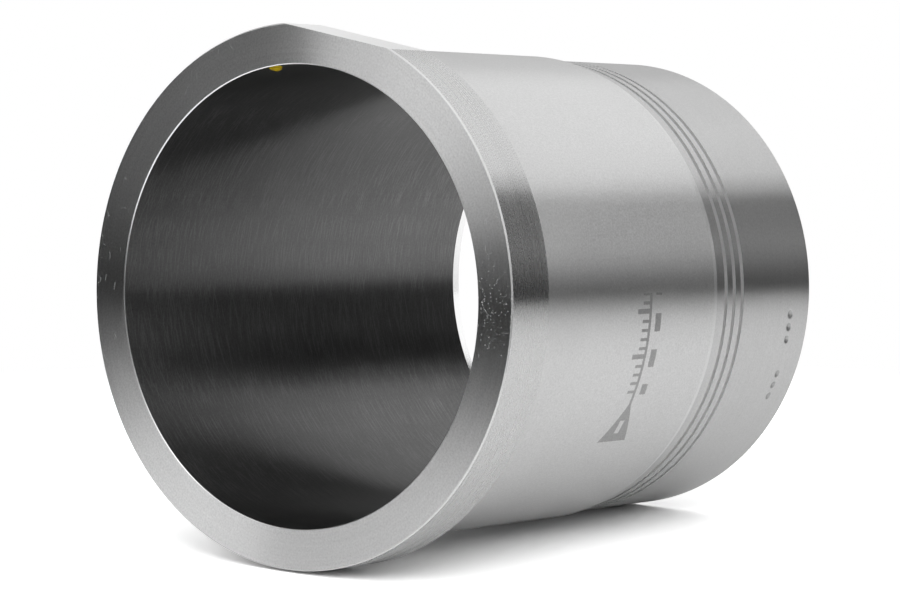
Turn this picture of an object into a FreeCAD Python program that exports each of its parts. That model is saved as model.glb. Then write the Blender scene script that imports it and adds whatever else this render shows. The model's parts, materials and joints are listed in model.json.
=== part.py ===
import FreeCAD, Part
import os
import Sketcher

# A flanged wet cylinder liner, turned in one piece and stood on its lower end.
# Millimetres. The origin is the centre of the lower end and +Z runs up the bore to the deck face.
# The flat milled on the flange faces +X, where the next liner in the block stands.

NODE = "liner"

# Driving dimensions: name, size and what it measures.
# Radial sizes build outwards from the bore, and heights build up from the lower end.
SIZES = (
    ("bore_dia", 99.2, "honed bore, across"),
    ("skirt_wall", 3.4, "wall of the lower register, bore to outside"),
    ("body_step", 0.75, "how far the main body stands out from the register"),
    ("flange_overhang", 4.75, "how far the flange stands out from the main body"),
    ("flat_depth", 2.0, "depth of the flat below the round of the flange"),
    ("total_length", 122.0, "lower end to deck face"),
    ("flange_thick", 12.7, "flange, seat to deck face"),
    ("register_length", 39.3, "lower end to the step under the main body"),
    ("lead_length", 1.9, "taper that guides the main body into the block"),
    ("lead_shoulder", 0.25, "square shoulder left below that taper"),
    ("ring_land", 3.35, "plain land between the step and the first seal groove"),
    ("ring_width", 1.3, "width of each seal groove"),
    ("ring_depth", 1.0, "depth of each seal groove"),
    ("ring_pitch", 3.3, "seal groove to seal groove"),
    ("ring_count", 3, "number of seal grooves"),
    ("relief_width", 2.2, "undercut below the flange seat, along the body"),
    ("relief_depth", 0.6, "depth of that undercut"),
    ("skirt_lead_length", 3.5, "height of the long taper inside the lower end"),
    ("skirt_lead_depth", 0.95, "how far that taper opens the bore, radially"),
    ("rim_chamfer", 0.3, "edge break round the deck face"),
    ("seat_chamfer", 0.25, "edge break round the underside of the flange"),
    ("mouth_chamfer", 0.3, "edge break at the top of the bore"),
    ("end_chamfer", 0.4, "edge break outside the lower end"),
)

# Radii that follow from them, from the bore outwards.
BORE = "Sizes.bore_dia / 2"
SKIRT_MOUTH = f"{BORE} + Sizes.skirt_lead_depth"
REGISTER = f"{BORE} + Sizes.skirt_wall"
RING_FLOOR = f"{REGISTER} - Sizes.ring_depth"
LEAD_FOOT = f"{REGISTER} + Sizes.lead_shoulder"
BODY = f"{REGISTER} + Sizes.body_step"
RELIEF_FLOOR = f"{BODY} - Sizes.relief_depth"
FLANGE = f"{BODY} + Sizes.flange_overhang"
FLAT = f"{FLANGE} - Sizes.flat_depth"
CLEAR_OF_FLANGE = f"{FLANGE} + Sizes.flat_depth"

# Heights that follow from them, from the lower end up.
LOWER_END = "0"
SKIRT_LEAD_TOP = "Sizes.skirt_lead_length"
STEP = "Sizes.register_length"
RING_TOP = f"{STEP} - Sizes.ring_land"
RING_FOOT = f"{RING_TOP} - Sizes.ring_width"
LEAD_TOP = f"{STEP} + Sizes.lead_length"
DECK = "Sizes.total_length"
SEAT = f"{DECK} - Sizes.flange_thick"
RELIEF_FOOT = f"{SEAT} - Sizes.relief_width"


def make_sheet(doc):
    """Write the driving dimensions into a sheet, one row each, with their names as aliases."""
    sheet = doc.addObject("Spreadsheet::Sheet", "Sizes")
    for row, (name, size, meaning) in enumerate(SIZES, start=1):
        sheet.set(f"A{row}", name)
        sheet.set(f"B{row}", str(size))
        sheet.set(f"C{row}", meaning)
        sheet.setAlias(f"B{row}", name)
    doc.recompute()


def origin_part(body, role):
    """One of the body's own origin planes or axes."""
    return next(part for part in body.Origin.OriginFeatures if part.Role == role)


def dimension_corners(sketch, corners, points, axis):
    """Dimension each corner along one axis, or tie it to a neighbour that it is in line with."""
    kind = ("DistanceX", "DistanceY")[axis]
    tie = ("Vertical", "Horizontal")[axis]
    last = len(corners) - 1
    for index, corner in enumerate(corners):
        if index and corner[axis] == corners[index - 1][axis]:
            sketch.addConstraint(Sketcher.Constraint(tie, index - 1))
        elif index == last and corner[axis] == corners[0][axis]:
            sketch.addConstraint(Sketcher.Constraint(tie, last))
        else:
            dimension = Sketcher.Constraint(kind, -1, 1, index, 1, points[index][axis])
            number = sketch.addConstraint(dimension)
            sketch.setExpression(f"Constraints[{number}]", corner[axis])


def draw_outline(body, name, plane, corners, height=None):
    """Draw a closed outline on an origin plane or above it. Each corner is a pair of sizes."""
    sketch = body.newObject("Sketcher::SketchObject", name)
    sketch.AttachmentSupport = [(origin_part(body, plane), "")]
    sketch.MapMode = "FlatFace"
    if height:
        sketch.setExpression("AttachmentOffset.Base.z", height)
    points = [FreeCAD.Vector(*map(sketch.evalExpression, corner)) for corner in corners]
    followers = points[1:] + points[:1]
    for point, follower in zip(points, followers):
        sketch.addGeometry(Part.LineSegment(point, follower))
    for index in range(len(points)):
        joint = Sketcher.Constraint("Coincident", index, 2, (index + 1) % len(points), 1)
        sketch.addConstraint(joint)
    dimension_corners(sketch, corners, points, axis=0)
    dimension_corners(sketch, corners, points, axis=1)
    return sketch


def turn(body, kind, name, outline):
    """Revolve an outline a full turn about the bore's axis, as stock or as a cut."""
    feature = body.newObject(kind, name)
    feature.Profile = outline
    feature.ReferenceAxis = (outline, ["V_Axis"])
    feature.Angle = 360
    return feature


def turn_blank(body):
    """The wall of the liner: lower register, step with its guiding taper, main body and flange."""
    outline = draw_outline(body, "WallOutline", "XZ_Plane", (
        (SKIRT_MOUTH, LOWER_END),
        (REGISTER, LOWER_END),
        (REGISTER, STEP),
        (LEAD_FOOT, STEP),
        (BODY, LEAD_TOP),
        (BODY, SEAT),
        (FLANGE, SEAT),
        (FLANGE, DECK),
        (BORE, DECK),
        (BORE, SKIRT_LEAD_TOP),
    ))
    turn(body, "PartDesign::Revolution", "Blank", outline)


def cut_seat_relief(body):
    """An undercut in the corner below the flange, so that the flange seats flat in the block."""
    outline = draw_outline(body, "ReliefOutline", "XZ_Plane", (
        (RELIEF_FLOOR, RELIEF_FOOT),
        (FLANGE, RELIEF_FOOT),
        (FLANGE, SEAT),
        (RELIEF_FLOOR, SEAT),
    ))
    turn(body, "PartDesign::Groove", "SeatRelief", outline)


def cut_seal_grooves(body):
    """Narrow square grooves below the step, the first a land away from it, then evenly down."""
    outline = draw_outline(body, "RingOutline", "XZ_Plane", (
        (RING_FLOOR, RING_FOOT),
        (BODY, RING_FOOT),
        (BODY, RING_TOP),
        (RING_FLOOR, RING_TOP),
    ))
    first = turn(body, "PartDesign::Groove", "SealGroove", outline)
    rings = body.newObject("PartDesign::LinearPattern", "SealGrooves")
    rings.Originals = [first]
    rings.Direction = (origin_part(body, "Z_Axis"), [""])
    rings.Reversed = True
    rings.Mode = "Spacing"
    rings.setExpression("Offset", "Sizes.ring_pitch")
    rings.setExpression("Occurrences", "Sizes.ring_count")
    body.Tip = rings


def break_edge(body, name, radius, height, size):
    """Chamfer the round edge that lies at a radius and a height."""
    body.Document.recompute()
    turned = body.Tip
    at_radius = turned.evalExpression(radius)
    at_height = turned.evalExpression(height)
    slack = Part.Precision.approximation()
    edges = [
        f"Edge{number}"
        for number, edge in enumerate(turned.Shape.Edges, start=1)
        if isinstance(edge.Curve, Part.Circle)
        and abs(edge.Curve.Radius - at_radius) < slack
        and abs(edge.Curve.Center.z - at_height) < slack
    ]
    chamfer = body.newObject("PartDesign::Chamfer", name)
    chamfer.Base = (turned, edges)
    chamfer.setExpression("Size", size)


def break_edges(body):
    """The fine edge breaks that the lathe leaves on the flange, the bore's mouth and the lower end."""
    break_edge(body, "RimEdge", FLANGE, DECK, "Sizes.rim_chamfer")
    break_edge(body, "SeatEdge", FLANGE, SEAT, "Sizes.seat_chamfer")
    break_edge(body, "MouthEdge", BORE, DECK, "Sizes.mouth_chamfer")
    break_edge(body, "LowerEdge", REGISTER, LOWER_END, "Sizes.end_chamfer")


def mill_flat(body):
    """The flat through the whole flange, milled after turning, where the next liner sits against it."""
    outline = draw_outline(body, "FlatOutline", "XY_Plane", (
        (FLAT, f"-({FLANGE})"),
        (CLEAR_OF_FLANGE, f"-({FLANGE})"),
        (CLEAR_OF_FLANGE, FLANGE),
        (FLAT, FLANGE),
    ), height=DECK)
    flat = body.newObject("PartDesign::Pocket", "FlangeFlat")
    flat.Profile = outline
    flat.setExpression("Length", "Sizes.flange_thick")


def make_liner(doc):
    """Turn the liner, cut its relief and seal grooves, break its edges and mill its flat."""
    body = doc.addObject("PartDesign::Body", "Liner")
    body.Label = NODE
    body.Placement = FreeCAD.Placement()
    turn_blank(body)
    cut_seat_relief(body)
    cut_seal_grooves(body)
    break_edges(body)
    mill_flat(body)
    doc.recompute()
    return body


def check_document(doc):
    """Stop if any object failed, an outline is loose, or a cut took nothing away."""
    for item in doc.Objects:
        if {"Invalid", "Error"} & set(item.State):
            raise RuntimeError(f"{item.Name} failed: {item.State}")
        if item.isDerivedFrom("Sketcher::SketchObject") and not item.FullyConstrained:
            raise RuntimeError(f"{item.Name} is not fully constrained")
        if item.isDerivedFrom("PartDesign::Feature") and item.BaseFeature:
            taken = item.BaseFeature.Shape.Volume - item.Shape.Volume
            print(f"{item.Name} takes away {taken:.1f} mm3")
            if taken <= 0:
                raise RuntimeError(f"{item.Name} cut nothing")


def export(body):
    """Write the finished solid to its own file, once it is known to be sound."""
    shape = body.Shape
    if shape.isNull() or not shape.isValid() or len(shape.Solids) != 1:
        raise RuntimeError(f"{body.Label} is not one sound solid")
    os.makedirs("parts", exist_ok=True)
    shape.exportStep(f"parts/{body.Label}.step")
    box = shape.optimalBoundingBox(False, False)
    print(f"{body.Label}: {box.XLength:.2f} x {box.YLength:.2f} x {box.ZLength:.2f} mm")
    print(f"volume {shape.Volume:.0f} mm3, lowest point at z = {box.ZMin:.3f} mm")


document = FreeCAD.newDocument("CylinderLiner")
make_sheet(document)
liner = make_liner(document)
check_document(document)
export(liner)
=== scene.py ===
# %% [markdown]
# # A cylinder liner on a white table
#
# The object is one piece of turned iron: a tube with a flange at the top, a flat milled on that
# flange, a step two thirds of the way down and three narrow seal grooves below it. Nothing on it
# moves. The whole lesson is therefore about two things: one clean turned surface, and what light
# does on metal that carries tool marks all round.

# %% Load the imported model
import json
import math
import bpy
import numpy as np
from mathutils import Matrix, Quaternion, Vector


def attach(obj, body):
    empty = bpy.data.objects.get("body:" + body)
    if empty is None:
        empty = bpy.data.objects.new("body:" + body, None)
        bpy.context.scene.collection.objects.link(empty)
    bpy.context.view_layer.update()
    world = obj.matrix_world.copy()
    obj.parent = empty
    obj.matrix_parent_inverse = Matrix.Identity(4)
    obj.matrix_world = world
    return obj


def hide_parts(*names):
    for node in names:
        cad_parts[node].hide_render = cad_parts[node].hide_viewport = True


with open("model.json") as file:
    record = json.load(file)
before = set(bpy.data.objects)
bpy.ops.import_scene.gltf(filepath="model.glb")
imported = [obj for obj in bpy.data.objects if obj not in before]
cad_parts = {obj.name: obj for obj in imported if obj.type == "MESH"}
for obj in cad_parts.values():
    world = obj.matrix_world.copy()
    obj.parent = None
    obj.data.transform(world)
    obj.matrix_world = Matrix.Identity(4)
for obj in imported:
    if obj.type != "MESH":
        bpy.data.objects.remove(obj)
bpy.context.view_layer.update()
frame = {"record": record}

MM = 0.001

# %% [markdown]
# ## The sizes of the liner
#
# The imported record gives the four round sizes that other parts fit. The rest are the heights and
# radii of the turned section, in millimetres, with z = 0 at the lower end and the deck face on top.
# The CAD mesh is a polygon with many sides, so its box is a hair smaller than the round it stands
# for, and the flange is drawn 0.03 mm smaller in radius to stay inside it. The last two lines place
# a row of punch marks near the lower end, by their angles from +X.

# %% Sizes
mounts = {mount["name"]: mount for mount in frame["record"]["mounts"]}
BORE_R, REGISTER_R, BODY_R, FLANGE_R = (
    mounts[name]["dims"]["r_mm"] for name in ("bore", "lower_register", "main_body", "flange_rim")
)
INSIDE_THE_BOX = 0.03
FLANGE_R -= INSIDE_THE_BOX
FLAT_X = mounts["flange_flat"]["pos_m"][0] / MM
DECK_Z = mounts["deck_face"]["pos_m"][2] / MM
SEAT_Z = mounts["flange_seat"]["pos_m"][2] / MM
STEP_Z = 39.3
LEAD_LENGTH, LEAD_SHOULDER = 1.9, 0.25
GROOVE_LAND, GROOVE_WIDTH, GROOVE_DEPTH, GROOVE_PITCH, GROOVES = 3.35, 1.3, 1.0, 3.3, 3
RELIEF_WIDTH, RELIEF_DEPTH = 2.2, 0.6
TAPER_LENGTH, TAPER_DEPTH = 3.5, 0.95
RIM_EDGE, SEAT_EDGE, MOUTH_EDGE, LOWER_EDGE = 0.3, 0.25, 0.2, 0.4
DOT_Z, DOT_BAND, DOT_R, DOT_DEPTH = 8.0, 1.4, 1.2, 0.45
DOT_ANGLES = np.array([-106.0, -102.9, -99.8, -90.6, -87.4, -84.2])
print(f"bore {2 * BORE_R} mm, flange {2 * FLANGE_R} mm, {DECK_Z} mm tall, flat at x = {FLAT_X} mm")

# %% [markdown]
# ## The camera
#
# The photograph looks down the bore from the front, and the liner lies on its side. Here the liner
# stands upright, as it is kept, so the camera is rolled instead. It is a long lens, 131 mm, which is
# why the far end looks almost as wide as the flange. The place is given as a direction round the
# liner, a distance, and a roll about the line of sight.

# %% Camera
LENS_MM = 130.97
CAMERA_ROUND, CAMERA_UP, CAMERA_ROLL = 15.323, 51.835, 92.547
CAMERA_AIM = Vector((-1.993, -0.546, 68.069)) * MM
CAMERA_DISTANCE = 739.77 * MM


def direction(round_deg, up_deg):
    """A unit vector: round_deg turned from -Y towards +X, up_deg above the horizon."""
    turn, lift = math.radians(round_deg), math.radians(up_deg)
    return Vector((math.sin(turn) * math.cos(lift), -math.cos(turn) * math.cos(lift), math.sin(lift)))


toward_camera = direction(CAMERA_ROUND, CAMERA_UP)
camera_data = bpy.data.cameras.new("camera")
camera_data.lens = LENS_MM
camera_data.sensor_width = 36
camera_data.clip_start, camera_data.clip_end = 0.05, 20
camera = bpy.data.objects.new("camera", camera_data)
bpy.context.scene.collection.objects.link(camera)
camera.location = CAMERA_AIM + toward_camera * CAMERA_DISTANCE
camera.rotation_mode = "QUATERNION"
upright = (-toward_camera).to_track_quat("-Z", "Y")
camera.rotation_quaternion = upright @ Quaternion((0, 0, 1), -math.radians(CAMERA_ROLL))
bpy.context.scene.camera = camera
print("camera at", [round(v / MM, 1) for v in camera.location], "mm")

# %% [markdown]
# ## The turned section
#
# A lathe makes a liner by carrying one outline round an axis. The outline is written here as a walk
# round the wall: out along the deck face, down the outside, in under the lower end and back up the
# bore. Each stretch names its finish and how many rows of faces it gets; some finishes carry painted
# light. A straight stretch needs few rows, because its shape is the same at both ends. A groove is a
# trough with rounded corners, because the tool that cuts it has a rounded nose: half a turn of sine
# and cosine gives an arch, and a power below one squares it up. The floor of each groove is darkened
# with painted shade and the wall that faces the deck is lightened with a painted highlight, so each
# groove shows as a dark line beside a light one.

# %% The outline, as a walk round the wall
GROOVE_TOPS = [STEP_Z - GROOVE_LAND - n * GROOVE_PITCH for n in range(GROOVES)]
LOWEST_GROOVE = GROOVE_TOPS[-1] - GROOVE_WIDTH
GROOVE_ROWS, FLOOR_ROWS, ROUNDING = 12, 7, 0.72

walk = [("start", BORE_R + MOUTH_EDGE, DECK_Z, 0)]
walk += [
    ("deck", FLANGE_R - RIM_EDGE, DECK_Z, 6),
    ("edge", FLANGE_R, DECK_Z - RIM_EDGE, 1),
    ("rim", FLANGE_R, SEAT_Z + SEAT_EDGE, 4),
    ("edge", FLANGE_R - SEAT_EDGE, SEAT_Z, 1),
    ("seat", BODY_R - RELIEF_DEPTH, SEAT_Z, 4),
    # The relief groove under the flange takes the groove floor's painted shade.
    ("groove", BODY_R - RELIEF_DEPTH, SEAT_Z - RELIEF_WIDTH, 1),
    ("groove", BODY_R, SEAT_Z - RELIEF_WIDTH, 1),
    ("body", BODY_R, STEP_Z + LEAD_LENGTH, 12),
    ("body", REGISTER_R + LEAD_SHOULDER, STEP_Z, 2),
    ("body", REGISTER_R, STEP_Z, 1),
]
trough = np.linspace(0, math.pi, GROOVE_ROWS + 1)[1:]
trough_z = -GROOVE_WIDTH / 2 * (1 - np.sign(np.cos(trough)) * np.abs(np.cos(trough)) ** ROUNDING)
trough_r = -GROOVE_DEPTH * np.abs(np.sin(trough)) ** ROUNDING
# The floor rows get painted shade, the rows of the wall that faces the deck a painted highlight.
trough_painted_light = ["groove"] * FLOOR_ROWS + ["bright"] * (GROOVE_ROWS - FLOOR_ROWS)
for top in GROOVE_TOPS:
    walk += [("register", REGISTER_R, top, 2)]
    walk += [(name, REGISTER_R + r, top + z, 1) for name, r, z in zip(trough_painted_light, trough_r, trough_z)]
walk += [
    ("register", REGISTER_R, DOT_Z + DOT_BAND, 4),
    ("register", REGISTER_R, DOT_Z - DOT_BAND, 20),
    ("register", REGISTER_R, LOWER_EDGE, 3),
    ("edge", REGISTER_R - LOWER_EDGE, 0, 1),
    ("seat", BORE_R + TAPER_DEPTH, 0, 3),
    # The taper gets a painted highlight, the bore painted shade, and the mouth's edge a painted highlight.
    ("taper", BORE_R, TAPER_LENGTH, 3),
    ("bore", BORE_R, DECK_Z - MOUTH_EDGE, 16),
    ("bright", BORE_R + MOUTH_EDGE, DECK_Z, 1),
]

rows_r, rows_z, row_finish = [], [], []
for (_, r0, z0, _), (finish, r1, z1, count) in zip(walk, walk[1:]):
    share = np.arange(count) / count
    rows_r.append(r0 + (r1 - r0) * share)
    rows_z.append(z0 + (z1 - z0) * share)
    row_finish += [finish] * count
rows_r, rows_z = np.concatenate(rows_r), np.concatenate(rows_z)
print(f"{len(walk) - 1} stretches, {len(rows_r)} rows")

# %% [markdown]
# ## The columns, and the flat
#
# The flat is where a milling cutter took the flange down to one plane, x = 56.5 mm. On a turned
# surface that plane only shortens the radius: at an angle t from +X nothing on the flange may be
# further out than 56.5 / cos(t). A boolean cut would do the same, but it leaves long thin faces that
# shade badly. Here the columns are put exactly at the angles where the plane meets the round, so
# that the corners are crisp and the grid stays even. Between two chosen angles the columns are five
# times as close, because punch marks a little over two millimetres wide are pressed in there later.

# %% The angles of the columns
ROUND_COLUMNS = 480
COLUMN = 360 / ROUND_COLUMNS
FINE_FROM, FINE_TO, FINER = -108.0, -80.25, 5
corner_radii = (FLANGE_R, FLANGE_R - RIM_EDGE, FLANGE_R - SEAT_EDGE)
corners = [math.degrees(math.acos(FLAT_X / radius)) for radius in corner_radii]
degrees = np.concatenate([
    np.arange(ROUND_COLUMNS) * COLUMN - 180,
    np.arange(FINE_FROM, FINE_TO, COLUMN / FINER),
    corners,
    np.negative(corners),
])
angles = np.radians(np.unique(np.round(degrees, 6)))
print(f"{len(angles)} columns, flat within {corners[0]:.2f} degrees of +X")

# %% [markdown]
# ## From numbers to a mesh
#
# Every point of the liner is a function of two parameters, its place on the walk and its angle. Both
# are arrays, so the whole surface is worked out at once. The deck and the seat are shared out anew
# between their inner edge and the shortened outer edge, otherwise the rows would bunch up along the
# flat. The faces then join each point with the next row and the next column, and wrap round in both
# directions, which closes the surface with no seam.


# %% Surface helpers
def closed_surface(name, points, finishes, palette):
    """Join a grid of points (rows, columns, 3) into a mesh that closes in both directions.

    Face (i, j) has the corners (i, j), (i+1, j), (i+1, j+1), (i, j+1), counted round and round, and
    takes the material that the palette gives to its row's finish.
    """
    rows, columns = points.shape[:2]
    number = np.arange(rows * columns).reshape(rows, columns)
    below = np.roll(number, -1, axis=0)
    faces = np.stack([number, below, np.roll(below, -1, axis=1), np.roll(number, -1, axis=1)], axis=-1)
    mesh = bpy.data.meshes.new(name)
    mesh.from_pydata(points.reshape(-1, 3), [], faces.reshape(-1, 4))
    names = list(palette)
    for finish in names:
        mesh.materials.append(palette[finish])
    slots = np.repeat([names.index(finish) for finish in finishes], columns)
    mesh.polygons.foreach_set("material_index", slots.astype(np.int32))
    mesh.update()
    return mesh


def piece(name, mesh, sharp_deg=9.0):
    """Show a mesh as an object at the origin, smooth but for edges sharper than sharp_deg."""
    mesh.polygons.foreach_set("use_smooth", np.ones(len(mesh.polygons), dtype=bool))
    mesh.set_sharp_from_angle(angle=math.radians(sharp_deg))
    thing = bpy.data.objects.new(name, mesh)
    bpy.context.scene.collection.objects.link(thing)
    print(f"{name}: {len(mesh.polygons)} faces")
    return thing


def turned_points(radius, height, angle):
    """Points of a turned wall: (r cos t, r sin t, z), with r held inside the flat's plane.

    On the flange r is at most FLAT_X / cos t. Rows that cross the deck or the seat keep their share of
    the way from the inner edge to that outer edge.
    """
    r = np.repeat(radius[:, None], len(angle), axis=1)
    cosine = np.cos(angle)
    limit = np.where(cosine > 0.5, FLAT_X / np.maximum(cosine, 0.5), np.inf)
    for level, inner, outer in (
        (DECK_Z, BORE_R + MOUTH_EDGE, FLANGE_R - RIM_EDGE),
        (SEAT_Z, BODY_R - RELIEF_DEPTH, FLANGE_R - SEAT_EDGE),
    ):
        flat_rows = np.isclose(height, level)
        share = (radius[flat_rows] - inner) / (outer - inner)
        reach = np.minimum(limit, outer) - inner
        r[flat_rows] = inner + share[:, None] * reach[None, :]
    on_flange = height > SEAT_Z - 1e-6
    r[on_flange] = np.minimum(r[on_flange], limit)
    z = np.repeat(height[:, None], len(angle), axis=1)
    return np.stack([r * np.cos(angle), r * np.sin(angle), z], axis=-1) * MM

# %% [markdown]
# ## Helpers for shader nodes
#
# A material is a small tree of nodes. Written out call by call, a tree of thirty nodes is hard to
# read. Six helpers keep it short: one adds a node and fills its inputs, one is a step of arithmetic,
# one starts a node group with named inputs and outputs, one places such a group in a material, and
# the last two are a noise and a soft step.

# %% Node helpers
def node(tree, kind, inputs=(), **settings):
    """Add a shader node, set its settings, and fill its inputs with values or links."""
    made = tree.nodes.new(kind)
    for key, value in settings.items():
        setattr(made, key, value)
    for key, value in dict(inputs).items():
        if isinstance(value, bpy.types.NodeSocket):
            tree.links.new(value, made.inputs[key])
        else:
            made.inputs[key].default_value = value
    return made


def calc(tree, operation, a, b=0.0, c=0.0):
    """One step of arithmetic on numbers."""
    return node(tree, "ShaderNodeMath", {0: a, 1: b, 2: c}, operation=operation).outputs[0]


def new_group(name, inputs, outputs):
    """An empty node group with named sockets; returns the tree, its inputs and its outputs."""
    tree = bpy.data.node_groups.new(name, "ShaderNodeTree")
    for label, kind, value in inputs:
        socket = tree.interface.new_socket(label, in_out="INPUT", socket_type=f"NodeSocket{kind}")
        if value is not None:
            socket.default_value = value
    for label, kind in outputs:
        tree.interface.new_socket(label, in_out="OUTPUT", socket_type=f"NodeSocket{kind}")
    return tree, tree.nodes.new("NodeGroupInput").outputs, tree.nodes.new("NodeGroupOutput").inputs


def use_group(tree, group, inputs):
    """Place a node group in a tree, fill its inputs, and return its outputs."""
    return node(tree, "ShaderNodeGroup", inputs, node_tree=group).outputs


def noise_at(tree, where, scale, detail=1.0):
    """A noise between 0 and 1, about 0.5 on average, whose blobs are 1 / scale metres wide."""
    inputs = {"Vector": where, "Scale": scale, "Detail": detail}
    return node(tree, "ShaderNodeTexNoise", inputs).outputs["Fac"]


def step_up(tree, value, low, high):
    """0 below low, 1 above high, and a smooth rise between them."""
    inputs = {"Value": value, "From Min": low, "From Max": high}
    return node(tree, "ShaderNodeMapRange", inputs, interpolation_type="SMOOTHSTEP").outputs[0]


# %% [markdown]
# ## Tool marks
#
# A lathe tool leaves one fine thread-like scratch that runs all round. Seen from a distance the
# single scratches melt together, and what stays visible are streaks: bands a few tenths of a
# millimetre wide that are a little lighter or darker and run round the part. The streaks read a
# noise whose coordinates are squeezed across the scratches and stretched along them. Radius plus
# height works as the coordinate across the scratches everywhere, because on a cylinder only the
# height changes and on a face only the radius does.

# %% Group: streaks that run round the part
streaks, into, out = new_group(
    "round streaks",
    [("Vector", "Vector", None), ("Width mm", "Float", 0.4), ("Length mm", "Float", 20.0)],
    [("Streaks", "Float")],
)
x, y, z = node(streaks, "ShaderNodeSeparateXYZ", {0: into["Vector"]}).outputs
squares = calc(streaks, "MULTIPLY_ADD", x, x, calc(streaks, "MULTIPLY", y, y))
across = calc(streaks, "ADD", calc(streaks, "SQRT", squares), z)
fine = calc(streaks, "DIVIDE", 1000.0, into["Width mm"])
coarse = calc(streaks, "DIVIDE", 1000.0, into["Length mm"])
stretched = node(streaks, "ShaderNodeCombineXYZ", {
    0: calc(streaks, "MULTIPLY", x, coarse),
    1: calc(streaks, "MULTIPLY", y, coarse),
    2: calc(streaks, "MULTIPLY", across, fine),
}).outputs[0]
streaks.links.new(noise_at(streaks, stretched, 1.0, 2.0), out["Streaks"])
print("group:", streaks.name)

# %% [markdown]
# ## Grain and handling
#
# Between the streaks the metal has a fine grain, three to four and a half tenths of a millimetre,
# and over all of it lie broad faint clouds where hands and oil have been. One group gives both, so
# that each finish can take as much of either as it needs.

# %% Group: grain and clouds
grain, into, out = new_group(
    "grain and clouds",
    [("Vector", "Vector", None), ("Grain mm", "Float", 0.35), ("Cloud mm", "Float", 18.0)],
    [("Grain", "Float"), ("Clouds", "Float")],
)
grain_scale = calc(grain, "DIVIDE", 1000.0, into["Grain mm"])
cloud_scale = calc(grain, "DIVIDE", 1000.0, into["Cloud mm"])
grain.links.new(noise_at(grain, into["Vector"], grain_scale, 3.0), out["Grain"])
grain.links.new(noise_at(grain, into["Vector"], cloud_scale, 2.0), out["Clouds"])
print("group:", grain.name)

# %% [markdown]
# ## Honing marks in the bore
#
# A hone turns slowly and moves up and down, so its scratches climb and fall and cross each other.
# They hold the oil. A slanted line that runs round a cylinder doesn't meet itself after one turn,
# which would leave a seam. Here each family of scratches weaves instead: its height is shifted by a
# sine that has a whole number of waves in one turn. The second family weaves the other way, and the
# stronger of the two shows.

# %% Group: honed crosshatch
honing, into, out = new_group(
    "honed crosshatch",
    [("Vector", "Vector", None), ("Width mm", "Float", 0.35), ("Length mm", "Float", 7.0)],
    [("Mask", "Float")],
)
WEAVES, WEAVE_MM = 7, 1.6
x, y, z = node(honing, "ShaderNodeSeparateXYZ", {0: into["Vector"]}).outputs
turn = calc(honing, "ARCTAN2", y, x)
swing = calc(honing, "MULTIPLY", calc(honing, "SINE", calc(honing, "MULTIPLY", turn, WEAVES)), WEAVE_MM * MM)
fine = calc(honing, "DIVIDE", 1000.0, into["Width mm"])
coarse = calc(honing, "DIVIDE", 1000.0, into["Length mm"])
families = []
for side in ("ADD", "SUBTRACT"):
    woven = node(honing, "ShaderNodeCombineXYZ", {
        0: calc(honing, "MULTIPLY", x, coarse),
        1: calc(honing, "MULTIPLY", y, coarse),
        2: calc(honing, "MULTIPLY", calc(honing, side, z, swing), fine),
    }).outputs[0]
    families.append(noise_at(honing, woven, 1.0, 2.0))
strongest = calc(honing, "MAXIMUM", *families)
honing.links.new(step_up(honing, strongest, 0.5, 0.72), out["Mask"])
print("group:", honing.name, f"slant up to {math.degrees(math.atan(WEAVES * WEAVE_MM / BORE_R)):.0f} degrees")

# %% [markdown]
# ## Pits and hairline scratches
#
# The deck face has been laid down and slid about. It has small pits, thickest round one place on the
# face, and a few hair-fine curved scratches. A pit is a small disc round the middle of a Voronoi
# cell, kept only where the cell's random number is high. A hair is the line where a slow noise
# crosses its middle value, kept only where a second noise is high. The mask roughens the metal there
# and the depth tilts it, so both catch light from elsewhere: they show bright where the face is dark
# and grey where it is bright, as on the real one.

# %% Group: pits and hairs
pits, into, out = new_group(
    "pits and hairs",
    [("Vector", "Vector", None), ("Cell mm", "Float", 0.62), ("Pit share", "Float", 0.24)],
    [("Mask", "Float"), ("Depth", "Float")],
)
CROWD_ANGLE, CROWD_RADIUS, CROWD_REACH = math.radians(-80), 54.0, 11.0
RARE, CROWDED = 0.965, 0.80
HAIR_SCALE, HAIR_HALF, PATCH_SCALE, HAIR_DEPTH = 260.0, 0.003, 420.0, 0.6
cell_scale = calc(pits, "DIVIDE", 1000.0, into["Cell mm"])
cells = node(pits, "ShaderNodeTexVoronoi", {"Vector": into["Vector"], "Scale": cell_scale}).outputs
chance = node(pits, "ShaderNodeSeparateColor", {0: cells["Color"]}).outputs[0]
crowd = [CROWD_RADIUS * math.cos(CROWD_ANGLE) * MM, CROWD_RADIUS * math.sin(CROWD_ANGLE) * MM, DECK_Z * MM]
spots = {0: into["Vector"], 1: crowd}
apart = node(pits, "ShaderNodeVectorMath", spots, operation="DISTANCE").outputs["Value"]
near = calc(pits, "SUBTRACT", 1.0, step_up(pits, apart, 2 * MM, CROWD_REACH * MM))
needed = calc(pits, "MULTIPLY_ADD", near, -CROWDED, RARE)
kept = calc(pits, "GREATER_THAN", chance, needed)
bowl = calc(pits, "SUBTRACT", 1.0, calc(pits, "DIVIDE", cells["Distance"], into["Pit share"]))
bowl = calc(pits, "MULTIPLY", calc(pits, "MAXIMUM", bowl, 0.0), kept)
pit = calc(pits, "GREATER_THAN", bowl, 0.0)
drift = noise_at(pits, into["Vector"], HAIR_SCALE, 0.0)
line = calc(pits, "LESS_THAN", calc(pits, "ABSOLUTE", calc(pits, "SUBTRACT", drift, 0.5)), HAIR_HALF)
patches = step_up(pits, noise_at(pits, into["Vector"], PATCH_SCALE, 0.0), 0.60, 0.66)
hair = calc(pits, "MULTIPLY", calc(pits, "MULTIPLY", line, patches), HAIR_DEPTH)
pits.links.new(calc(pits, "MAXIMUM", pit, hair), out["Mask"])
pits.links.new(calc(pits, "MAXIMUM", bowl, hair), out["Depth"])
print("group:", pits.name)

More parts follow.
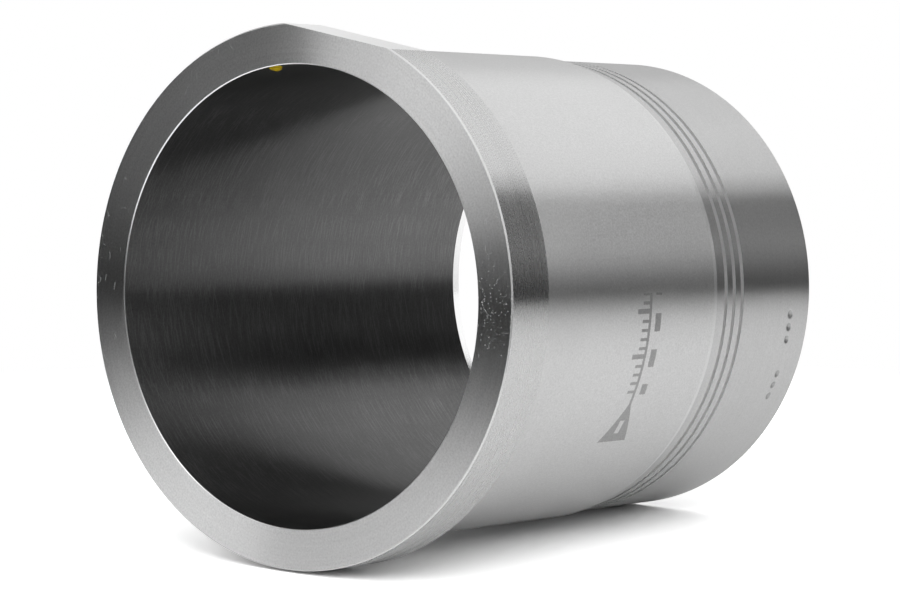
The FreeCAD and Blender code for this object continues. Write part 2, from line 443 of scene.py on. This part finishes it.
# %% [markdown]
# ## An etched scale
#
# Makers etch marks into the wall of a liner with a laser, which turns the bright metal a dull grey
# without cutting into it. This one is a plain fitting scale: a filled arrow, a line that runs round
# the wall and graduations on both sides of it. The mask is arithmetic on two lengths in millimetres,
# one along the wall from the arrow's base and one up it. A little noise on both keeps the edges from
# being too clean.

# %% Group: etched scale
etched, into, out = new_group("etched scale", [("Vector", "Vector", None)], [("Mask", "Float")])
SCALE_START, SCALE_Z, SCALE_LENGTH = math.radians(-114.6), 65.9, 35.0
ARROW_LENGTH, ARROW_HALF, TICK_PITCH = 10.5, 5.2, 2.0
SLOT_HALF, SLOT_FROM, SLOT_TO, LINE_HALF, RAGGED = 0.8, 2.2, 5.6, 0.45, 0.25
x, y, z = node(etched, "ShaderNodeSeparateXYZ", {0: into["Vector"]}).outputs
waver = calc(etched, "SUBTRACT", noise_at(etched, into["Vector"], 4000.0), 0.5)
ragged = calc(etched, "MULTIPLY", waver, RAGGED)
turn = calc(etched, "SUBTRACT", calc(etched, "ARCTAN2", y, x), SCALE_START)
run = calc(etched, "MULTIPLY_ADD", turn, BODY_R, ragged)
rise = calc(etched, "ADD", calc(etched, "MULTIPLY_ADD", z, 1000.0, -SCALE_Z), ragged)


def between(value, low, high):
    """1 where a value lies between two others."""
    above = calc(etched, "GREATER_THAN", value, low)
    return calc(etched, "MULTIPLY", above, calc(etched, "LESS_THAN", value, high))


def graduations(pitch, width, low, high):
    """Short bars across the wall, one every pitch, from one height to another."""
    share = calc(etched, "FRACT", calc(etched, "DIVIDE", calc(etched, "SUBTRACT", run, ARROW_LENGTH), pitch))
    bars = calc(etched, "MULTIPLY", calc(etched, "LESS_THAN", share, width / pitch), between(rise, low, high))
    return calc(etched, "MULTIPLY", bars, between(run, ARROW_LENGTH + 1.5, SCALE_LENGTH))


slope = ARROW_HALF / ARROW_LENGTH
reach = calc(etched, "MULTIPLY_ADD", run, -slope, ARROW_HALF)
off_middle = calc(etched, "ABSOLUTE", rise)
inside = calc(etched, "LESS_THAN", off_middle, reach)
head = calc(etched, "MULTIPLY", inside, calc(etched, "GREATER_THAN", run, 0.0))
in_slot = calc(etched, "LESS_THAN", off_middle, SLOT_HALF)
slot = calc(etched, "MULTIPLY", in_slot, between(run, SLOT_FROM, SLOT_TO))
head = calc(etched, "SUBTRACT", head, slot)
on_line = calc(etched, "LESS_THAN", off_middle, LINE_HALF)
shaft = calc(etched, "MULTIPLY", on_line, between(run, ARROW_LENGTH - 1, SCALE_LENGTH))
marks = [head, shaft, graduations(TICK_PITCH, 0.7, 0.0, 2.8), graduations(5 * TICK_PITCH, 1.1, 0.0, 4.8),
         graduations(4 * TICK_PITCH, 4.0, -4.2, -2.0)]
mask = marks[0]
for mark in marks[1:]:
    mask = calc(etched, "MAXIMUM", mask, mark)
etched.links.new(mask, out["Mask"])
print("group:", etched.name, f"{SCALE_LENGTH} mm long, {len(marks)} kinds of mark")

# %% [markdown]
# ## One recipe for machined metal
#
# Bare iron has no colour of its own to speak of: it shows its surroundings, dimmed to about two
# thirds. What tells one finish from another is how far the reflection is smeared, and in which
# direction. Scratches smear it across themselves, so a finish with tool marks has a strong anisotropy
# whose tangent points across the scratches: up the wall on a cylinder, outwards on a face. Streaks
# and grain change the tone and the roughness a little. The last step lets one of the mask groups
# dull the finish where its mask is 1.


# %% Machined metal
def machined(name, tone, roughness, anisotropy, spread, streak, grained, **detail):
    """A bare metal: tone, smear and its direction ("up" or "out"), and how strongly it is marked.

    tone = tone + streak x streaks + grained x grain, and the roughness varies the same way. An overlay
    is (group, dim, rougher): its mask dims the tone and adds to the roughness. bump is the height of
    the marks in millimetres, and dents is (group, deep), a group's depth in millimetres.
    """
    material = bpy.data.materials.new(name)
    material.use_nodes = True
    tree = material.node_tree
    shader = tree.nodes["Principled BSDF"]
    shader.inputs["Metallic"].default_value = 1.0
    shader.inputs["Anisotropic"].default_value = anisotropy
    where = node(tree, "ShaderNodeTexCoord").outputs["Object"]
    widths = {"Width mm": detail.get("width", 0.4), "Length mm": detail.get("length", 20.0)}
    lines = use_group(tree, streaks, {"Vector": where, **widths})["Streaks"]
    marks = use_group(tree, grain, {"Vector": where, "Grain mm": detail.get("size", 0.45)})
    noises = (lines, marks["Grain"], marks["Clouds"])
    line, speck, cloud = (calc(tree, "SUBTRACT", value, 0.5) for value in noises)
    level = calc(tree, "MULTIPLY_ADD", line, streak, tone)
    rough = calc(tree, "MULTIPLY_ADD", line, detail.get("line_rough", 0.06), roughness)
    level = calc(tree, "MULTIPLY_ADD", speck, grained, level)
    level = calc(tree, "MULTIPLY_ADD", cloud, detail.get("clouds", 0.03), level)
    rough = calc(tree, "MULTIPLY_ADD", speck, detail.get("grain_rough", 0.06), rough)
    for group, dim, rougher in detail.get("overlays", ()):
        mask = use_group(tree, group, {"Vector": where})["Mask"]
        level = calc(tree, "MULTIPLY", level, calc(tree, "MULTIPLY_ADD", mask, dim - 1.0, 1.0))
        rough = calc(tree, "MULTIPLY_ADD", mask, rougher, rough)
    grey = node(tree, "ShaderNodeCombineColor", {0: level, 1: level, 2: level}).outputs[0]
    tree.links.new(grey, shader.inputs["Base Color"])
    tree.links.new(rough, shader.inputs["Roughness"])
    if spread == "out":
        flat = node(tree, "ShaderNodeVectorMath", {0: where, 1: (1, 1, 0)}, operation="MULTIPLY").outputs[0]
        across = node(tree, "ShaderNodeVectorMath", {0: flat}, operation="NORMALIZE").outputs[0]
    else:
        across = node(tree, "ShaderNodeCombineXYZ", {2: 1.0}).outputs[0]
    tree.links.new(across, shader.inputs["Tangent"])
    if "bump" in detail:
        height = calc(tree, "MULTIPLY", calc(tree, "ADD", lines, marks["Grain"]), detail["bump"])
        if "dents" in detail:
            group, deep = detail["dents"]
            depth = use_group(tree, group, {"Vector": where})["Depth"]
            height = calc(tree, "MULTIPLY_ADD", depth, -deep, height)
        raised = node(tree, "ShaderNodeBump", {"Height": height, "Distance": MM}).outputs[0]
        tree.links.new(raised, shader.inputs["Normal"])
    return material


# %% [markdown]
# ## The finishes
#
# Each surface was cut by its own tool. The flange rim is left as it was turned, with the plainest
# streaks. The main body is blasted or polished to a satin, which smears the light furthest and lets
# no streak show. The lower section is ground for the seals. The grooves have a floor darkened with
# painted shade and one wall lightened with a painted highlight, and the bore's mouth has an edge with
# a painted highlight too. These small cuts and the plain edge breaks smear light every way. The flat
# is milled, and its near-white tone is a painted highlight. The bore is honed, and its dark grey tone
# is painted shade inside the tube; the taper at its lower end is lightened with a painted highlight.
# The tones are matched to the photograph, so those of the flat, the cuts with a painted highlight and
# the taper are lighter than bare iron. The etched scale is part of the body's finish, the pits and
# hairs are part of the deck's.

# %% The finishes
finishes = {
    "deck": machined(
        "deck faced", 0.83, 0.35, 1.0, "out", 0.12, 0.36, grain_rough=0.10, clouds=0.06, bump=0.001,
        overlays=[(pits, 0.95, 0.30)], dents=(pits, 0.045),
    ),
    "edge": machined("edge break", 0.62, 0.40, 0.0, "up", 0.05, 0.02),
    "rim": machined(
        "rim turned", 0.532, 0.274, 1.0, "up", 0.10, 0.10, size=0.3, grain_rough=0.03,
        line_rough=0.04, width=0.35, length=60.0,
    ),
    # The flat's near-white tone is a painted highlight, lighter than bare iron.
    "flat": machined("flat milled", 0.92, 0.35, 0.5, "up", 0.05, 0.04),
    "seat": machined("seat faced", 0.65, 0.40, 0.8, "out", 0.08, 0.04),
    # The groove floor's dark tone is painted shade in the recess.
    "groove": machined("groove floor", 0.44, 0.50, 0.0, "up", 0.10, 0.06),
    # This cut's light tone is a painted highlight on the groove walls and the bore's mouth.
    "bright": machined("bright cut", 0.97, 0.30, 0.0, "up", 0.06, 0.03),
    "body": machined(
        "body satin", 0.612, 0.4, 1.0, "up", 0.03, 0.32, size=0.4, grain_rough=0.35, bump=0.004,
        overlays=[(etched, 0.68, 0.25)],
    ),
    "register": machined(
        "register ground", 0.525, 0.325, 1.0, "up", 0.06, 0.20, grain_rough=0.15, length=40.0,
    ),
    "mark": machined("punch mark", 0.40, 0.50, 0.0, "up", 0.05, 0.10),
    # The taper's light tone is a painted highlight.
    "taper": machined("end taper", 0.98, 0.12, 0.0, "up", 0.02, 0.02),
    # The bore's dark tone is painted shade inside the tube.
    "bore": machined(
        "bore honed", 0.143, 0.31, 0.853, "up", 0.02, 0.09, grain_rough=0.10, bump=0.001,
        overlays=[(honing, 1.45, 0.04)],
    ),
}
print(len(finishes), "finishes")

# %% [markdown]
# ## The liner
#
# Walk, angles and finishes come together. The faces that lie in the flat's plane get the milled
# finish, which the walk can't give them, because they share their rows with the turned rim. The new
# surface stands for the plain CAD solid, which stays in the simulation.


# %% Build the liner
def face_centres(mesh):
    """The middle of every face, in mm, as three rows x, y and z."""
    found = np.empty(len(mesh.polygons) * 3)
    mesh.polygons.foreach_get("center", found)
    return found.reshape(-1, 3).T / MM


def refinish(mesh, chosen, finish):
    """Give the faces where chosen is true another one of the finishes."""
    slots = np.empty(len(mesh.polygons), dtype=np.int32)
    mesh.polygons.foreach_get("material_index", slots)
    slots[chosen] = list(finishes).index(finish)
    mesh.polygons.foreach_set("material_index", slots)
    print(f"{np.count_nonzero(chosen)} faces are now {finish}")


liner_mesh = closed_surface("liner_turned", turned_points(rows_r, rows_z, angles), row_finish, finishes)
refinish(liner_mesh, face_centres(liner_mesh)[0] > FLAT_X - 0.001, "flat")
liner = piece("liner_turned", liner_mesh)
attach(liner, "root")
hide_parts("liner")

# %% [markdown]
# ## Punch marks
#
# Near the lower end a fitter has struck a row of small round marks with a punch, as is done to tell
# parts apart. They are real dents and not a painted effect, so that they catch the light from every
# side. As on the real liner they come last, on the finished wall: every point of the lower section
# is pushed in by an amount that depends on how far it is from the nearest mark. The faces at the
# bottom of a mark get a finish of their own, darker and rougher than the ground wall.

# %% Press in the punch marks
def from_marks(x, y, z):
    """How far each point is from the nearest punch mark, in mm, measured on the wall."""
    arc = (np.arctan2(y, x)[:, None] - np.radians(DOT_ANGLES)) * REGISTER_R
    return np.hypot(arc, z[:, None] - DOT_Z).min(axis=1)


place_of = np.empty(len(liner_mesh.vertices) * 3)
liner_mesh.vertices.foreach_get("co", place_of)
x, y, z = place_of.reshape(-1, 3).T / MM
radius = np.hypot(x, y)
on_wall = (radius > REGISTER_R - 0.01) & (z < LOWEST_GROOVE - 1)
away = from_marks(x, y, z)
push = DOT_DEPTH * (0.5 + 0.5 * np.cos(math.pi * np.minimum(away / DOT_R, 1))) * on_wall
pressed = np.stack([x, y, z], axis=1)
pressed[:, :2] *= (1 - push / radius)[:, None]
liner_mesh.vertices.foreach_set("co", (pressed * MM).ravel())
liner_mesh.update()
x, y, z = face_centres(liner_mesh)
in_mark = (from_marks(x, y, z) < 0.75 * DOT_R) & (np.hypot(x, y) > BODY_R - 3)
refinish(liner_mesh, in_mark, "mark")
print(f"{len(DOT_ANGLES)} marks, {np.count_nonzero(push > 0)} points moved, deepest {push.max():.2f} mm")

# %% [markdown]
# ## A dab of paint
#
# Just inside the mouth of the bore sits a dab of yellow paint, the kind that is put on after
# inspection. It is a separate piece, because paint lies on the metal and has a thickness. It is
# shaped like a small pillow: two sheets of points that share one border. The square grid is first
# pressed into a disc, the disc is stretched to the dab's uneven outline, and then it is laid on the
# wall. The upper sheet rises towards the middle, the lower one lies just under the metal's surface.


# %% The pillow
def pillow(name, top, bottom, material):
    """Join two square grids of points, which agree along their border, into one closed skin."""
    size = top.shape[0]
    upper = np.arange(size * size).reshape(size, size)
    lower = upper.copy()
    lower[1:-1, 1:-1] = size * size + np.arange((size - 2) ** 2).reshape(size - 2, size - 2)
    points = np.concatenate([top.reshape(-1, 3), bottom[1:-1, 1:-1].reshape(-1, 3)])
    quads = [
        np.stack([n[:-1, :-1], n[1:, :-1], n[1:, 1:], n[:-1, 1:]], axis=-1).reshape(-1, 4)
        for n in (upper, lower)
    ]
    mesh = bpy.data.meshes.new(name)
    mesh.from_pydata(points, [], np.concatenate([quads[0], quads[1][:, ::-1]]))
    mesh.materials.append(material)
    mesh.update()
    return mesh


# %% [markdown]
# ## The paint's finish
#
# Old marking paint is dull and uneven. Its colour varies between ochre and a greener yellow where
# it is thin, and it shines only a little.

# %% Marking paint
paint = bpy.data.materials.new("marking paint")
paint.use_nodes = True
tree = paint.node_tree
shader = tree.nodes["Principled BSDF"]
where = node(tree, "ShaderNodeTexCoord").outputs["Object"]
patchy = noise_at(tree, where, 900.0, 2.0)
tints = node(tree, "ShaderNodeValToRGB", {"Fac": patchy})
tints.color_ramp.elements[0].position, tints.color_ramp.elements[0].color = 0.35, (0.42, 0.25, 0.001, 1)
tints.color_ramp.elements[1].position, tints.color_ramp.elements[1].color = 0.65, (0.60, 0.46, 0.004, 1)
tree.links.new(tints.outputs[0], shader.inputs["Base Color"])
shader.inputs["Specular IOR Level"].default_value = 0.2
tree.links.new(calc(tree, "MULTIPLY_ADD", patchy, 0.3, 0.4), shader.inputs["Roughness"])
lumps = node(tree, "ShaderNodeBump", {"Height": patchy, "Distance": 0.03 * MM}).outputs[0]
tree.links.new(lumps, shader.inputs["Normal"])
print("material:", paint.name)

# %% [markdown]
# ## Laying the dab on the wall
#
# The dab is a short smear that leans over as it runs down from the mouth. The disc's two coordinates
# become a length round the wall and a height. At the mouth's small chamfer the wall steps back, and
# the paint follows it.

# %% The dab
DAB_ANGLE, DAB_Z, DAB_THICK, DAB_SUNK = math.radians(21.2), 118.3, 0.12, 0.03
DAB_LONG, DAB_WIDE, DAB_LEAN = 3.9, 1.5, math.radians(35)
DAB_GRID = 33
u, v = np.meshgrid(np.linspace(-1, 1, DAB_GRID), np.linspace(-1, 1, DAB_GRID), indexing="ij")
disc_x, disc_y = u * np.sqrt(1 - v ** 2 / 2), v * np.sqrt(1 - u ** 2 / 2)
turn, share = np.arctan2(disc_y, disc_x), np.hypot(disc_x, disc_y)
outline = 1 + 0.10 * np.sin(2 * turn + 0.6) + 0.10 * np.sin(3 * turn + 2.0) + 0.05 * np.sin(7 * turn)
run, width = disc_x * outline * DAB_LONG, disc_y * outline * DAB_WIDE
round_mm = run * math.sin(DAB_LEAN) + width * math.cos(DAB_LEAN)
up_mm = width * math.sin(DAB_LEAN) - run * math.cos(DAB_LEAN)
height = np.minimum(DAB_Z + up_mm, DECK_Z - 0.05)
wall = BORE_R + np.maximum(height - (DECK_Z - MOUTH_EDGE), 0)
thickness = DAB_THICK * np.sqrt(np.maximum(1 - share ** 2, 0)) * (1 + 0.3 * np.sin(5 * disc_x + 3 * disc_y))


def on_the_bore(lift):
    """Points at the dab's places, lift millimetres off the wall towards the axis."""
    angle = DAB_ANGLE + round_mm / BORE_R
    return np.stack([(wall - lift) * np.cos(angle), (wall - lift) * np.sin(angle), height], axis=-1) * MM


skin, underside = on_the_bore(thickness - DAB_SUNK), on_the_bore(0 * thickness - DAB_SUNK)
dab_mesh = pillow("paint_dab", skin, underside, paint)
dab = piece("paint_dab", dab_mesh, sharp_deg=60.0)
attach(dab, "root")

# %% [markdown]
# ## The table
#
# In the photograph the liner lies on a white table, on the lower rim of its flange and on the rim of
# its lower end. The table is therefore the plane that touches both circles on the side away from
# the camera's top. It stands almost upright here, because the liner does. Three directions follow
# from it: along the liner towards the deck face, sideways to the photograph's right, and up.

# %% The plane that the liner lies on
LYING_SIDE = math.radians(-170.2)
down_side = Vector((math.cos(LYING_SIDE), math.sin(LYING_SIDE), 0))
upper_touch = down_side * FLANGE_R + Vector((0, 0, SEAT_Z + SEAT_EDGE))
lower_touch = down_side * REGISTER_R + Vector((0, 0, LOWER_EDGE))
along = (upper_touch - lower_touch).normalized()
table_side = along.cross(down_side).normalized()
table_up = table_side.cross(along).normalized()
if table_up.dot(down_side) > 0:
    table_up.negate()
table_middle = (upper_touch + lower_touch) / 2
print("table faces", [round(v, 3) for v in table_up], "along", [round(v, 3) for v in along])

# %% [markdown]
# ## Boards
#
# Everything in this studio is a flat board: the table, the fronts of the soft boxes and the black
# flags. One helper makes them all, from a middle point and two directions. A second helper gives a
# point in the table's own terms.


# %% Helpers for boards
def board(name, middle, u, v, width, height, material, cells=8):
    """A flat sheet: middle + a u + b v, with a and b running over its width and height, in mm."""
    a = (np.linspace(-0.5, 0.5, cells + 1) * width)[:, None, None]
    b = (np.linspace(-0.5, 0.5, cells + 1) * height)[None, :, None]
    points = np.array(middle) + a * np.array(u) + b * np.array(v)
    number = np.arange((cells + 1) ** 2).reshape(cells + 1, cells + 1)
    faces = np.stack([number[:-1, :-1], number[1:, :-1], number[1:, 1:], number[:-1, 1:]], axis=-1)
    mesh = bpy.data.meshes.new(name)
    mesh.from_pydata(points.reshape(-1, 3) * MM, [], faces.reshape(-1, 4))
    mesh.materials.append(material)
    sheet = bpy.data.objects.new(name, mesh)
    bpy.context.scene.collection.objects.link(sheet)
    return sheet


def place(a, s, u):
    """A point given from the middle of the table: a along the liner, s to the side, u up, in mm."""
    return table_middle + along * a + table_side * s + table_up * u


# %% [markdown]
# ## White paper
#
# The table is matt white paper. The photograph shows it as pure white with the liner's shadow on it,
# while the metal mirrors a slightly darker white. Light Path tells the two apart: only for rays that
# come straight from the camera is the paper brighter. Further out it fades into plain white, so that
# no horizon shows. From behind, the camera sees through it, which keeps the liner in view from every
# side.

# %% The paper's material
PAPER, PAPER_SEEN = 0.86, 1.4
FADE_START, FADE_END = 0.22, 0.34
paper = bpy.data.materials.new("white paper")
paper.use_nodes = True
tree = paper.node_tree
shader = tree.nodes["Principled BSDF"]
shader.inputs["Roughness"].default_value = 0.9
shader.inputs["Specular IOR Level"].default_value = 0.0
ray = node(tree, "ShaderNodeLightPath").outputs["Is Camera Ray"]
behind = node(tree, "ShaderNodeNewGeometry").outputs["Backfacing"]
tone = calc(tree, "MULTIPLY_ADD", ray, PAPER_SEEN - PAPER, PAPER)
tint = node(tree, "ShaderNodeCombineColor", {0: tone, 1: tone, 2: tone}).outputs[0]
tree.links.new(tint, shader.inputs["Base Color"])
where = node(tree, "ShaderNodeTexCoord").outputs["Object"]
ends = {0: where, 1: tuple(table_middle * MM)}
away = node(tree, "ShaderNodeVectorMath", ends, operation="DISTANCE").outputs["Value"]
fade = calc(tree, "MULTIPLY", step_up(tree, away, FADE_START, FADE_END), ray)
white = node(tree, "ShaderNodeEmission", {"Strength": 1.0}).outputs[0]
clear = node(tree, "ShaderNodeBsdfTransparent").outputs[0]
faded = node(tree, "ShaderNodeMixShader", {0: fade, 1: shader.outputs[0], 2: white}).outputs[0]
see_through = calc(tree, "MULTIPLY", behind, ray)
surface = node(tree, "ShaderNodeMixShader", {0: see_through, 1: faded, 2: clear}).outputs[0]
tree.links.new(surface, tree.nodes["Material Output"].inputs["Surface"])
print("material:", paper.name)

# %% [markdown]
# ## The table top
#
# The table ends some 115 mm in front of the deck face, which is why that face mirrors a dark room in
# its upper left part and white paper in its lower part.

# %% Table top
TABLE_FRONT, TABLE_BACK, TABLE_LEFT, TABLE_RIGHT = 183, -1600, -566, 1492
table_centre = place((TABLE_FRONT + TABLE_BACK) / 2, (TABLE_LEFT + TABLE_RIGHT) / 2, 0)
table_size = (TABLE_FRONT - TABLE_BACK, TABLE_RIGHT - TABLE_LEFT)
board("table", table_centre, along, table_side, *table_size, paper)
print("table", [round(v) for v in table_size], "mm")

# %% [markdown]
# ## Soft boxes and flags
#
# Polished metal is lit by what it mirrors. A photographer surrounds it with large white boxes, which
# make the bright bands, and with black flags, which make the dark ones. The band that runs along the
# outside of the liner is a flag on the right, and its edges are where the flag ends above and below.
# The boxes that show in the metal glow at half to two and a half times white. The flags hide what is
# behind them from reflections, and all but two hide it from nothing else. None casts a lamp's
# shadow. Neither boxes nor flags show to the camera.


# %% Boxes and flags
def glow(name, strength):
    """The front of a soft box: it gives light and has no other surface."""
    material = bpy.data.materials.new(name)
    material.use_nodes = True
    tree = material.node_tree
    tree.nodes.remove(tree.nodes["Principled BSDF"])
    lamp = node(tree, "ShaderNodeEmission", {"Strength": strength})
    tree.links.new(lamp.outputs[0], tree.nodes["Material Output"].inputs["Surface"])
    return material


def soft_box(name, spot, width, height, strength):
    """A lamp with a flat white front, turned to face the middle of the table."""
    middle = place(*spot)
    facing = (table_middle - middle).normalized()
    level = facing.cross(table_up).normalized()
    made = board(name, middle, level, facing.cross(level), width, height, glow(name, strength))
    made.visible_camera = False
    return made


flag_black = bpy.data.materials.new("flag black")
flag_black.use_nodes = True
flag_black.node_tree.nodes["Principled BSDF"].inputs["Base Color"].default_value = (0.01, 0.01, 0.01, 1)
flag_black.node_tree.nodes["Principled BSDF"].inputs["Roughness"].default_value = 1.0


def flag(name, middle, u, v, width, height, dims_paper=False):
    """A black board that reflections see, and the matt paper too where dims_paper is true."""
    made = board(name, middle, u, v, width, height, flag_black)
    made.visible_camera = made.visible_shadow = False
    made.visible_diffuse = dims_paper


def upright_flag(name, start, end, bottom, top, dims_paper=False):
    """A flag that stands on a straight line from start to end, each (along, side) in mm."""
    middle = place((start[0] + end[0]) / 2, (start[1] + end[1]) / 2, (bottom + top) / 2)
    run = place(*end, 0) - place(*start, 0)
    flag(name, middle, run.normalized(), table_up, run.length, top - bottom, dims_paper)


# %% [markdown]
# ## Where they stand
#
# The big box hangs above. Smaller ones stand in front, to the right and behind. The flags close the
# gaps between them at the level of the liner. Two at the back hang clear of the table, and through
# the gaps below them the flange's flat and the far end of the bore mirror the white room. One lies
# under the table, so that no white world shows past its edge, and one makes a dark ceiling in front.
# The last lamp is a fill that lights the paper near the camera and shows in no reflection. The two
# flags on the right also keep some of the white room's light off the paper, so that the shadow grows
# dark where the liner touches it. The places and strengths were found by comparing small renders
# with the photograph's brightness.

# %% The studio
soft_box("box_above", (0, 187, 540), 941, 622, 1.43)
soft_box("box_front", (515, -133, 322), 478, 370, 1.33)
soft_box("box_right", (158, 560, 288), 435, 348, 2.43)
soft_box("box_back", (-560, -228, 272), 356, 254, 0.53)
upright_flag("flag_right", (-1400, 640), (160, 640), 28, 809, dims_paper=True)
upright_flag("flag_right_front", (160, 640), (700, 640), 0, 730, dims_paper=True)
upright_flag("flag_back_right", (-700, 640), (-700, 200), 0, 330)
upright_flag("flag_back", (-700, 200), (-700, -150), 150, 330)
upright_flag("flag_back_middle", (-700, -150), (-700, -350), 0, 330)
upright_flag("flag_back_left", (-700, -350), (-700, -850), 244, 330)
upright_flag("flag_left", (-700, -640), (127, -640), 0, 349)
upright_flag("flag_front_left", (127, -797), (560, -420), 0, 1000)
upright_flag("flag_front_low", (640, -480), (640, 134), 0, 174)
upright_flag("flag_front", (640, 134), (640, 640), 0, 730)
CEILING_START, CEILING_LENGTH, CEILING_WIDTH, CEILING_UP = 321, 800, 1700, 720
ceiling_middle = place(CEILING_START + CEILING_LENGTH / 2, 0, CEILING_UP)
flag("flag_ceiling", ceiling_middle, along, table_side, CEILING_LENGTH, CEILING_WIDTH)
FLOOR_DROP, FLOOR_SIZE = 5, 3600
flag("flag_floor", place(0, 0, -FLOOR_DROP), along, table_side, FLOOR_SIZE, FLOOR_SIZE)
fill = soft_box("box_fill", (477, 336, 400), 400, 350, 6.6)
fill.visible_glossy = False

# %% [markdown]
# ## The room
#
# The world is white, at a strength of 1, which is also the photograph's background. Its own
# importance sampling is off, so that the flags hide it from reflections without noise.

# %% World
world = bpy.data.worlds.new("studio")
world.use_nodes = True
bpy.context.scene.world = world
world.cycles.sampling_method = "NONE"
world.node_tree.nodes["Background"].inputs["Strength"].default_value = 1.0
world.node_tree.nodes["Background"].inputs["Color"].default_value = (1, 1, 1, 1)
bpy.context.scene.view_settings.view_transform = "Standard"
print("world:", world.name)

# %% [markdown]
# The dressed liner must be no larger than the CAD model.
